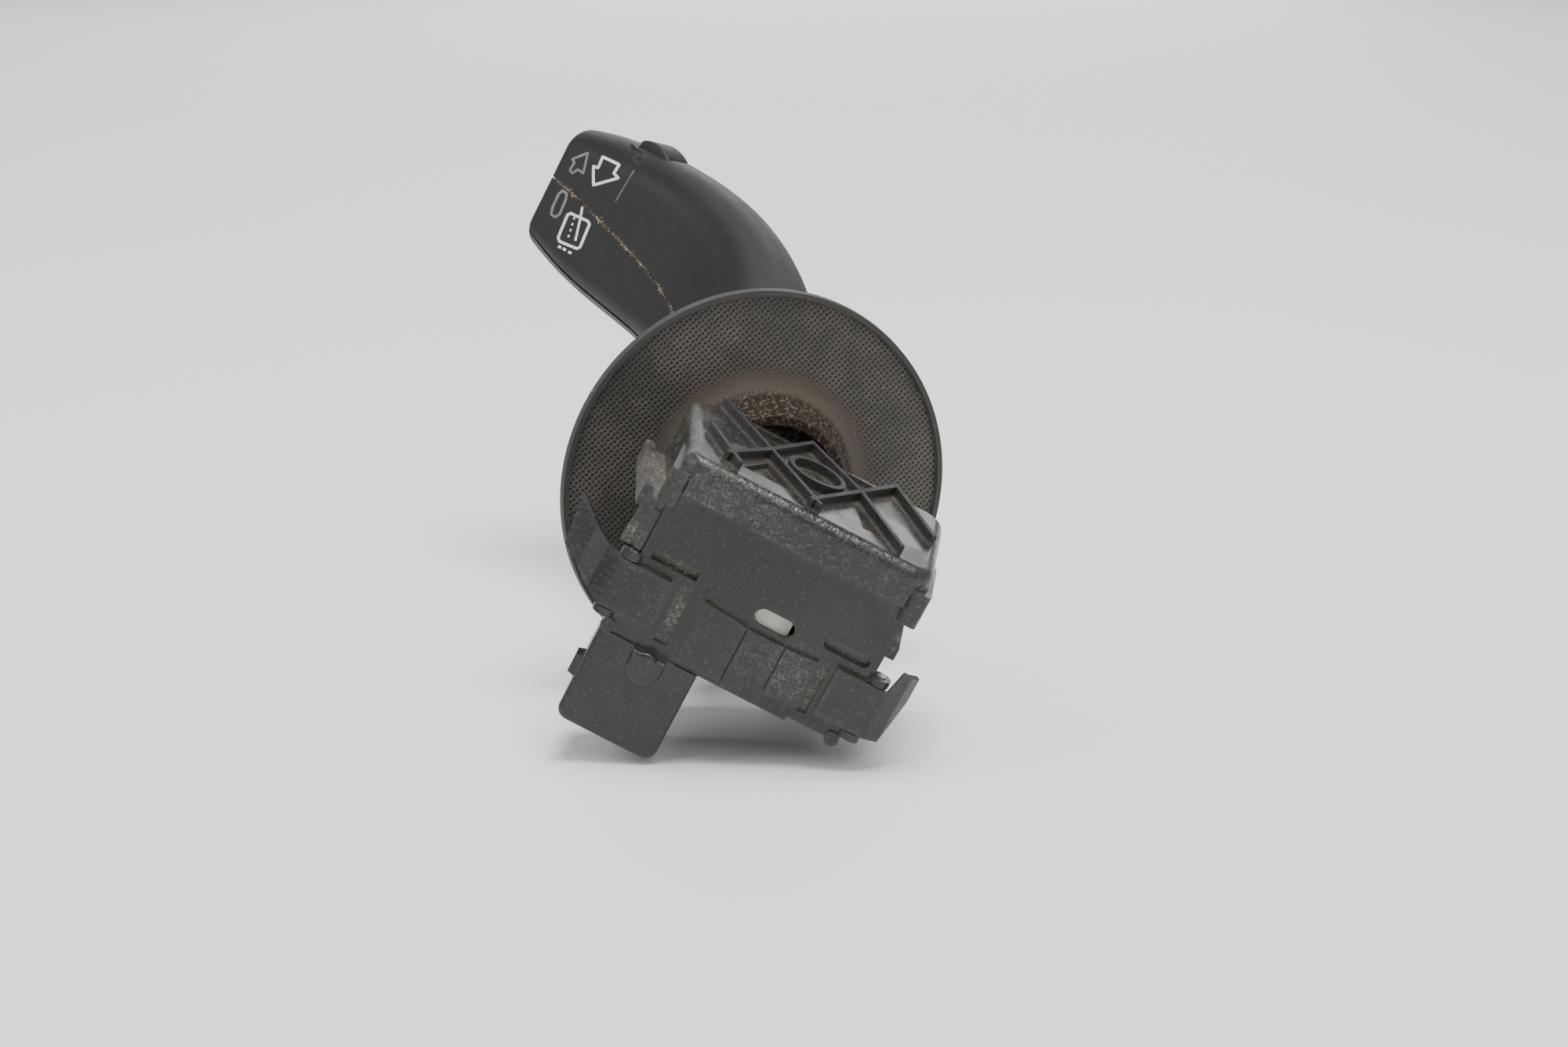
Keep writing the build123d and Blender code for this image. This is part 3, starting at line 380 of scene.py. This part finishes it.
def paint(name, colour, rough, wear):
    """Thin printed ink, a little worn."""
    m = Nodes(name)
    worn = m.ramp(m.noise(1400.0, 4.0, 0.65), 0.58, 0.72, 0.0, wear)
    soiled = m.ramp(m.noise(300.0, 3.0), 0.45, 0.7, 0.0, 0.25)
    base = m.mix(soiled, colour, (0.42, 0.40, 0.36, 1))
    return m.finish(m.mix(worn, base, grey(0.06)), rough, m.bump(m.noise(2400.0), 0.2, 0.02))


def dirt(name, dark, pale):
    """Dry crust: grainy, from dark brown to tan."""
    m = Nodes(name)
    grain = m.noise(2600.0, 4.0, 0.7)
    shade = m.plus(m.times(grain, 0.5), m.times(m.noise(260.0, 4.0, 0.6), 0.5))
    base = m.mix(m.ramp(shade, 0.4, 0.62), dark, pale)
    return m.finish(base, 0.9, m.bump(grain, 0.8, 0.08), specular=0.2)


# ---------------------------------------------------------------------------
# Finishes of the CAD pieces
# ---------------------------------------------------------------------------
# Places where dust has gathered: row point in mm, radius in mm, amount, and whether only where sunk
PLATE_DIRT = [((1.0, 15.6, -2.7), 7.5, 1.0, True), ((0.8, 12.0, -10.5), 9.0, 0.75, True),
              ((0.8, -14.0, -11.0), 9.0, 0.9, True), ((1.0, -15.9, -2.6), 7.0, 0.5, True),
              ((-0.9, -9.5, -9.5), 7.0, 0.35, False), ((-0.9, -3.5, -11.5), 6.0, 0.22, False)]
COVER_DIRT = [((-2.5, 12.0, 12.5), 12.0, 0.35, False), ((-2.5, -8.0, 11.5), 16.0, 0.12, False),
              ((15.0, 1.5, 17.0), 9.0, 0.35, False), ((27.0, -12.0, 17.0), 9.0, 0.5, False),
              ((20.0, 25.0, 9.0), 9.0, 0.5, False), ((1.0, -23.0, 8.0), 4.0, 0.5, False)]
HOUSING_DIRT = [((6.0, 23.4, 6.0), 6.0, 0.7, False), ((14.0, 24.6, 6.0), 7.0, 0.7, False),
                ((0.7, 25.5, -2.5), 4.5, 0.8, False), ((4.0, -21.6, 3.0), 5.0, 0.9, False),
                ((30.0, 0.0, -17.0), 14.0, 0.5, False)]
PLATE_SKIN = black_plastic("plate_skin", tone=0.012, grain=1400.0, depth=0.10, rough=0.28,
                           dust=0.10, corner=0.35, speck=0.12, dirty=PLATE_DIRT)
HOUSING_SKIN = black_plastic("housing_skin", tone=0.018, grain=1100.0, depth=0.05, rough=0.42,
                             dust=0.3, corner=0.45, speck=0.2, dirty=HOUSING_DIRT)
COVER_SKIN = black_plastic("cover_skin", tone=0.018, grain=1150.0, depth=0.30, rough=0.25,
                           dust=0.10, corner=0.42, speck=0.2, dirty=COVER_DIRT, ribbed=True)
SOCKET_SKIN = black_plastic("socket_skin", tone=0.013, grain=1500.0, depth=0.09, rough=0.32,
                            dust=0.10, corner=0.3, speck=0.10)
CLIP_SKIN = black_plastic("clip_skin", tone=0.014, grain=1300.0, depth=0.12, rough=0.30,
                          dust=0.10, corner=0.3, speck=0.08)
CORE_SKIN = black_plastic("core_skin", tone=0.045, grain=1200.0, depth=0.04, rough=0.5,
                          dust=0.3, corner=0.4, speck=0.2)
LEVER_SKIN = lever_plastic("lever_skin", 0.010)
STEEL = metal("spring_steel", (0.56, 0.55, 0.53, 1), 0.26, 900.0)
COPPER = metal("copper", (0.72, 0.40, 0.22, 1), 0.28, 700.0)
TIN = metal("tin", (0.66, 0.65, 0.62, 1), 0.24, 800.0)
FINISH = {
    "switch_housing": HOUSING_SKIN,
    "end_plate": PLATE_SKIN,
    "ribbed_cover": COVER_SKIN,
    "connector_socket": SOCKET_SKIN,
    "connector_blades": TIN,
    "circuit_board": solder_mask(),
    "contact_strips": COPPER,
    "contact_bridge": COPPER,
    "detent_track": pale_plastic(),
    "swivel_carrier": pale_plastic(),
    "carrier_plunger": pale_plastic(),
    "lever_plunger": pale_plastic(),
    "clip_pins": STEEL,
    "lever_pin": STEEL,
    "carrier_spring": STEEL,
    "lever_spring": STEEL,
    "shell_screws": STEEL,
    "rocker_pin": STEEL,
    "lever_core": CORE_SKIN,
    "upper_shell": LEVER_SKIN,
    "middle_trim": LEVER_SKIN,
    "lower_shell": LEVER_SKIN,
    "rocker_key": LEVER_SKIN,
    "shroud_disc": disc_weave(),
    "driver_side_clip": CLIP_SKIN,
    "far_side_clip": CLIP_SKIN,
}
for name, node in NODES.items():
    for slot in node.material_slots:
        slot.material = FINISH[name]

# ---------------------------------------------------------------------------
# Marks on the lever, laid onto its skin along the camera's rays; points are photo pixels
# ---------------------------------------------------------------------------
LEVER_NODES = ("upper_shell", "middle_trim", "lower_shell")
SKINS = {name: BVHTree.FromObject(NODES[name], bpy.context.evaluated_depsgraph_get()) for name in LEVER_NODES}
INK_LIFT = 0.03 * MM
STROKE_STEP_PX = 1.2

Hit = namedtuple("Hit", "point normal node distance")


def hit(pixel):
    """Where the camera's ray through a photo pixel meets the lever."""
    ray = LOOK * FOCAL_PX + RIGHT * (pixel[0] - PRINCIPAL.x) - UP * (pixel[1] - PRINCIPAL.y)
    ray.normalize()
    best = None
    for name, tree in SKINS.items():
        point, normal, _, distance = tree.ray_cast(EYE, ray)
        if point is not None and (best is None or distance < best.distance):
            best = Hit(point, normal if normal.dot(ray) < 0 else -normal, name, distance)
    return best


def resample(points, step, closed=False):
    """Points every step along a chain, corners kept."""
    chain = [Vector(point) for point in points]
    if closed:
        chain.append(chain[0])
    result = []
    for a, b in zip(chain, chain[1:]):
        count = max(1, round((b - a).length / step))
        result += [a.lerp(b, i / count) for i in range(count)]
    return result if closed else result + [chain[-1]]


def ride_mesh(mesh, material, body):
    """An object of the mesh's own name that rides on a body."""
    mesh.materials.append(material)
    piece = bpy.data.objects.new(mesh.name, mesh)
    bpy.context.collection.objects.link(piece)
    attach(piece, body)


def mesh_piece(name, vertices, faces, material, body):
    """A piece from vertices and faces."""
    mesh = bpy.data.meshes.new(name)
    mesh.from_pydata(vertices, [], faces)
    ride_mesh(mesh, material, body)


def stroke(vertices, faces, points, width, closed):
    """Add a line of the given width, laid on the lever's skin."""
    chain = resample(points, STROKE_STEP_PX, closed)
    first = last = None
    for i, point in enumerate(chain):
        before = chain[i - 1] if i or closed else point
        after = chain[(i + 1) % len(chain)] if i + 1 < len(chain) or closed else point
        along = (after - before).normalized()
        side = Vector((-along.y, along.x)) * width / 2
        edges = [hit(point + side), hit(point - side)]
        if None in edges:
            last = None
            continue
        now = (len(vertices), len(vertices) + 1)
        vertices += [found.point + found.normal * INK_LIFT for found in edges]
        if last is not None:
            faces.append((last[0], last[1], now[1], now[0]))
        first = first or now
        last = now
    if closed and first and last:
        faces.append((last[0], last[1], first[1], first[0]))


def symbol(name, material, strokes):
    """One piece of ink from several strokes: points, width and whether closed."""
    vertices, faces = [], []
    for points, width, closed in strokes:
        stroke(vertices, faces, points, width, closed)
    mesh_piece(name, vertices, faces, material, "lever")


def dashes(points, on, off):
    """Short pieces of a line: on and off are lengths in pixels."""
    chain = resample(points, 1.0)
    return [chain[i:i + on] for i in range(0, len(chain) - on, on + off)]


INK_WHITE = paint("ink_white", (0.78, 0.79, 0.76, 1), 0.5, 0.35)
# Darker copy of the white ink for the signs seen at a slant: painted shade, and more worn
INK_FAINT = paint("ink_faint", (0.15, 0.15, 0.143, 1), 0.55, 0.6)
INK_LINE = paint("ink_line", (0.07, 0.07, 0.068, 1), 0.5, 0.5)

# Arrow towards the driver, bright, on the upper shell
ARROW_NEAR = [(769, 200), (790, 210), (783, 221), (789, 227), (757, 236), (757, 212), (763, 214)]
# The same sign turned round, at the far side of the tip and seen at a slant
ARROW_FAR = [(750, 195), (744, 221), (737, 216), (730, 221), (727, 217), (733, 207), (730, 203)]
# Washer drop, seen at a slant
DROP = [(718, 243), (723, 247), (722, 254), (714, 273), (708, 277), (703, 273), (705, 264), (713, 247)]
PRINTED_LINE = [(809, 217), (797, 237), (785, 257)]
# Rear window with its wiper and spray, moved down the width so that it lies wholly on the middle trim
WINDOW_SHIFT = Vector((-8, 14))
WINDOW_FRAME = [(736, 258), (758, 268), (760, 272), (748, 301),
                (744, 303), (722, 294), (720, 289), (732, 260)]
WINDOW_WIPER = [(751, 250), (748, 266), (742, 293)]
WINDOW_SPRAY = [(741, 263), (731, 295)]
SPRAY_DASH = 4
SPRAY_DOTS = [(722, 301), (728, 304), (735, 308)]
HALF_DOT = Vector((2, 1))


def window_strokes():
    """Strokes of the rear-window sign, shifted onto its shell."""
    outline, wiper, spray, dots = ([Vector(point) + WINDOW_SHIFT for point in points]
                                   for points in (WINDOW_FRAME, WINDOW_WIPER, WINDOW_SPRAY, SPRAY_DOTS))
    strokes = [(outline, 3.6, True), (wiper, 3.0, False)]
    strokes += [(dash, 2.4, False) for dash in dashes(spray, SPRAY_DASH, SPRAY_DASH)]
    return strokes + [([dot - HALF_DOT, dot + HALF_DOT], 3.4, False) for dot in dots]


symbol("ink_arrow_near", INK_WHITE, [(ARROW_NEAR, 3.6, True)])
symbol("ink_arrow_far", INK_FAINT, [(ARROW_FAR, 3.0, True)])
symbol("ink_window", INK_WHITE, window_strokes())
symbol("ink_drop", INK_FAINT, [(DROP, 3.2, True)])
symbol("printed_line", INK_LINE, [(PRINTED_LINE, 1.6, False)])

# Thin plug over the open end of the rocker key's pin bore
PLUG_AT = Vector((814.5, 203.5))
PLUG_PX = 7.5
PLUG_SIDES = 14


def pin_plug():
    """A flat disc on the skin round the bore."""
    turns = [k * math.tau / PLUG_SIDES for k in range(PLUG_SIDES)]
    rim = [hit(PLUG_AT + Vector((math.cos(turn), math.sin(turn))) * PLUG_PX) for turn in turns]
    vertices = [found.point + found.normal * INK_LIFT for found in rim]
    mesh_piece("pin_plug", vertices, [tuple(range(PLUG_SIDES))], LEVER_SKIN, "lever")


pin_plug()

# ---------------------------------------------------------------------------
# Dried dirt in the long seam
# ---------------------------------------------------------------------------
SEAM_PATH = [(712, 224), (735, 235), (757, 247), (782, 258), (800, 280), (815, 297), (830, 332),
             (838, 355), (845, 380), (853, 403)]
SEAM_STEP_PX = 1.5
SEARCH_PX = 44
SEARCH_STEP_PX = 0.5
# The walls of the gap face up or down the lever's width by more than this; its skin doesn't
WALL_FACING = 0.5
SEAM_SHELLS = {"upper_shell", "middle_trim"}
CRUST = dirt("seam_crust", (0.022, 0.016, 0.011, 1), (0.24, 0.18, 0.11, 1))
CRUST_HALF_WIDTH = (0.16 * MM, 0.42 * MM)
CRUST_CROWN = 0.05 * MM
CRUST_SINK = 0.04 * MM
CRUMB = dirt("crumb", (0.16, 0.12, 0.08, 1), (0.62, 0.55, 0.42, 1))
CRUMB_RADIUS = (0.05 * MM, 0.2 * MM)
CRUMB_SHARE = 0.8
CRUMB_SCATTER = 0.32 * MM
# The first stretch of the seam, at the tip, has crust only
CRUMBS_FROM = 6

Seam = namedtuple("Seam", "point normal across")


def seam_point(pixel, across):
    """The place where the skin seen near a pixel changes shell, or None."""
    reach = round(SEARCH_PX / SEARCH_STEP_PX)
    skin = [hit(pixel + across * (step * SEARCH_STEP_PX)) for step in range(-reach, reach + 1)]
    skin = [found for found in skin if found and abs(found.normal.z) < WALL_FACING]
    changes = [k for k in range(len(skin) - 1) if {skin[k].node, skin[k + 1].node} == SEAM_SHELLS]
    if not changes:
        return None
    k = min(changes, key=lambda place: abs(place - len(skin) // 2))
    a, b = skin[k], skin[k + 1]
    return Seam((a.point + b.point) / 2, (a.normal + b.normal).normalized(), (b.point - a.point).normalized())


def seam_run():
    """Seam places from the tip to the disc."""
    chain = resample(SEAM_PATH, SEAM_STEP_PX)
    run = []
    for before, point, after in zip(chain, chain[1:], chain[2:]):
        along = (after - before).normalized()
        run.append(seam_point(point, Vector((-along.y, along.x))))
    return [place for place in run if place]


def seam_crust(run, dice):
    """A ragged low ridge that fills the seam."""
    vertices, faces = [], []
    for i, (point, normal, gap) in enumerate(run):
        across = (gap - normal * gap.dot(normal)).normalized()
        swell = 0.75 + 0.25 * math.sin(i * 0.31) * math.sin(i * 0.13 + 1.0)
        left = dice.uniform(*CRUST_HALF_WIDTH) * swell
        right = dice.uniform(*CRUST_HALF_WIDTH) * swell
        crown = dice.uniform(0.0, CRUST_CROWN)
        vertices += [point - across * left - normal * CRUST_SINK, point + normal * crown,
                     point + across * right - normal * CRUST_SINK]
        if i:
            base = 3 * (i - 1)
            faces += [(base, base + 1, base + 4, base + 3), (base + 1, base + 2, base + 5, base + 4)]
    mesh_piece("seam_crust", vertices, faces, CRUST, "lever")


def crumb_places(run, dice):
    """Points and normals of the crumbs, scattered across the seam."""
    places = []
    for point, normal, gap in run[CRUMBS_FROM:]:
        if dice.random() < CRUMB_SHARE:
            places.append((point + gap * dice.gauss(0, 1) * CRUMB_SCATTER, normal))
    return places


def seam_crumbs(places, dice):
    """Small lumps that sit on the given places."""
    smallest, largest = CRUMB_RADIUS
    build = bmesh.new()
    for point, normal in places:
        size = smallest + (largest - smallest) * dice.random() ** 3
        made = bmesh.ops.create_icosphere(build, subdivisions=1, radius=size)["verts"]
        stretch = Vector((dice.uniform(0.7, 1.3), dice.uniform(0.7, 1.3), dice.uniform(0.6, 1.0)))
        for vertex in made:
            vertex.co = vertex.co * stretch * dice.uniform(0.85, 1.1) + point + normal * size * 0.35
    mesh = bpy.data.meshes.new("seam_crumbs")
    build.to_mesh(mesh)
    build.free()
    ride_mesh(mesh, CRUMB, "lever")


DICE = random.Random(11)
SEAM = seam_run()
seam_crust(SEAM, DICE)
seam_crumbs(crumb_places(SEAM, DICE), DICE)

# ---------------------------------------------------------------------------
# Stage: a pale floor under the object, and soft light
# ---------------------------------------------------------------------------
FLOOR_HALF = 4.0
FLOOR_GAP = 0.2 * MM
WORLD_COLOUR = (0.93, 0.95, 0.95, 1)
WORLD_STRENGTH = 0.42
LIGHT_AIM = Vector((50.0, 12.0, 0.0)) * MM
# Name, place to the right, up and back of the aim in the view (m), side (m) and power (W)
LIGHTS = [("key_above", (0.25, 1.25, 0.55), 0.7, 27.0), ("left_soft", (-1.1, 0.6, 0.3), 0.8, 6.0),
          ("front_fill", (0.5, 0.7, 1.3), 0.9, 5.0), ("back_card", (0.0, 0.8, -1.1), 1.1, 7.0)]


def floor_material():
    """Matt paper whose back face is clear, so that views from below show the object."""
    m = Nodes("floor_paper")
    base = m.mix(m.noise(3.0, 4.0), (0.85, 0.86, 0.85, 1), (0.90, 0.905, 0.895, 1))
    m.finish(base, 0.62, m.bump(m.noise(1200.0), 0.1, 0.03))
    clear = m.tree.nodes.new("ShaderNodeBsdfTransparent")
    side = m.tree.nodes.new("ShaderNodeNewGeometry")
    join = m.tree.nodes.new("ShaderNodeMixShader")
    m.put(join.inputs[0], side.outputs["Backfacing"])
    m.put(join.inputs[1], m.shader.outputs[0])
    m.put(join.inputs[2], clear.outputs[0])
    m.put(m.tree.nodes["Material Output"].inputs["Surface"], join.outputs[0])
    return m.material


def lay_floor():
    """A square floor that touches the object's lowest reach along the photo's vertical."""
    lowest = min(PHOTO_UP.dot(vertex.co) for node in NODES.values() for vertex in node.data.vertices)
    mesh = bpy.data.meshes.new("floor")
    build = bmesh.new()
    bmesh.ops.create_grid(build, x_segments=1, y_segments=1, size=FLOOR_HALF)
    build.to_mesh(mesh)
    build.free()
    mesh.materials.append(floor_material())
    floor = bpy.data.objects.new("floor", mesh)
    bpy.context.collection.objects.link(floor)
    tilt = PHOTO_UP.to_track_quat("Z", "Y").to_matrix().to_4x4()
    floor.matrix_world = Matrix.Translation(PHOTO_UP * (lowest - FLOOR_GAP)) @ tilt


def area_light(name, offset, size, power):
    """Square soft light that aims at the object."""
    data = bpy.data.lights.new(name, "AREA")
    data.shape = "SQUARE"
    data.size = size
    data.energy = power
    light = bpy.data.objects.new(name, data)
    bpy.context.collection.objects.link(light)
    light.location = LIGHT_AIM + RIGHT * offset[0] + UP * offset[1] + BACK * offset[2]
    light.rotation_mode = "QUATERNION"
    light.rotation_quaternion = (light.location - LIGHT_AIM).to_track_quat("Z", "Y")


lay_floor()
world = bpy.data.worlds.new("studio")
bpy.context.scene.world = world
world.use_nodes = True
world.node_tree.nodes["Background"].inputs["Color"].default_value = WORLD_COLOUR
world.node_tree.nodes["Background"].inputs["Strength"].default_value = WORLD_STRENGTH
for light_row in LIGHTS:
    area_light(*light_row)
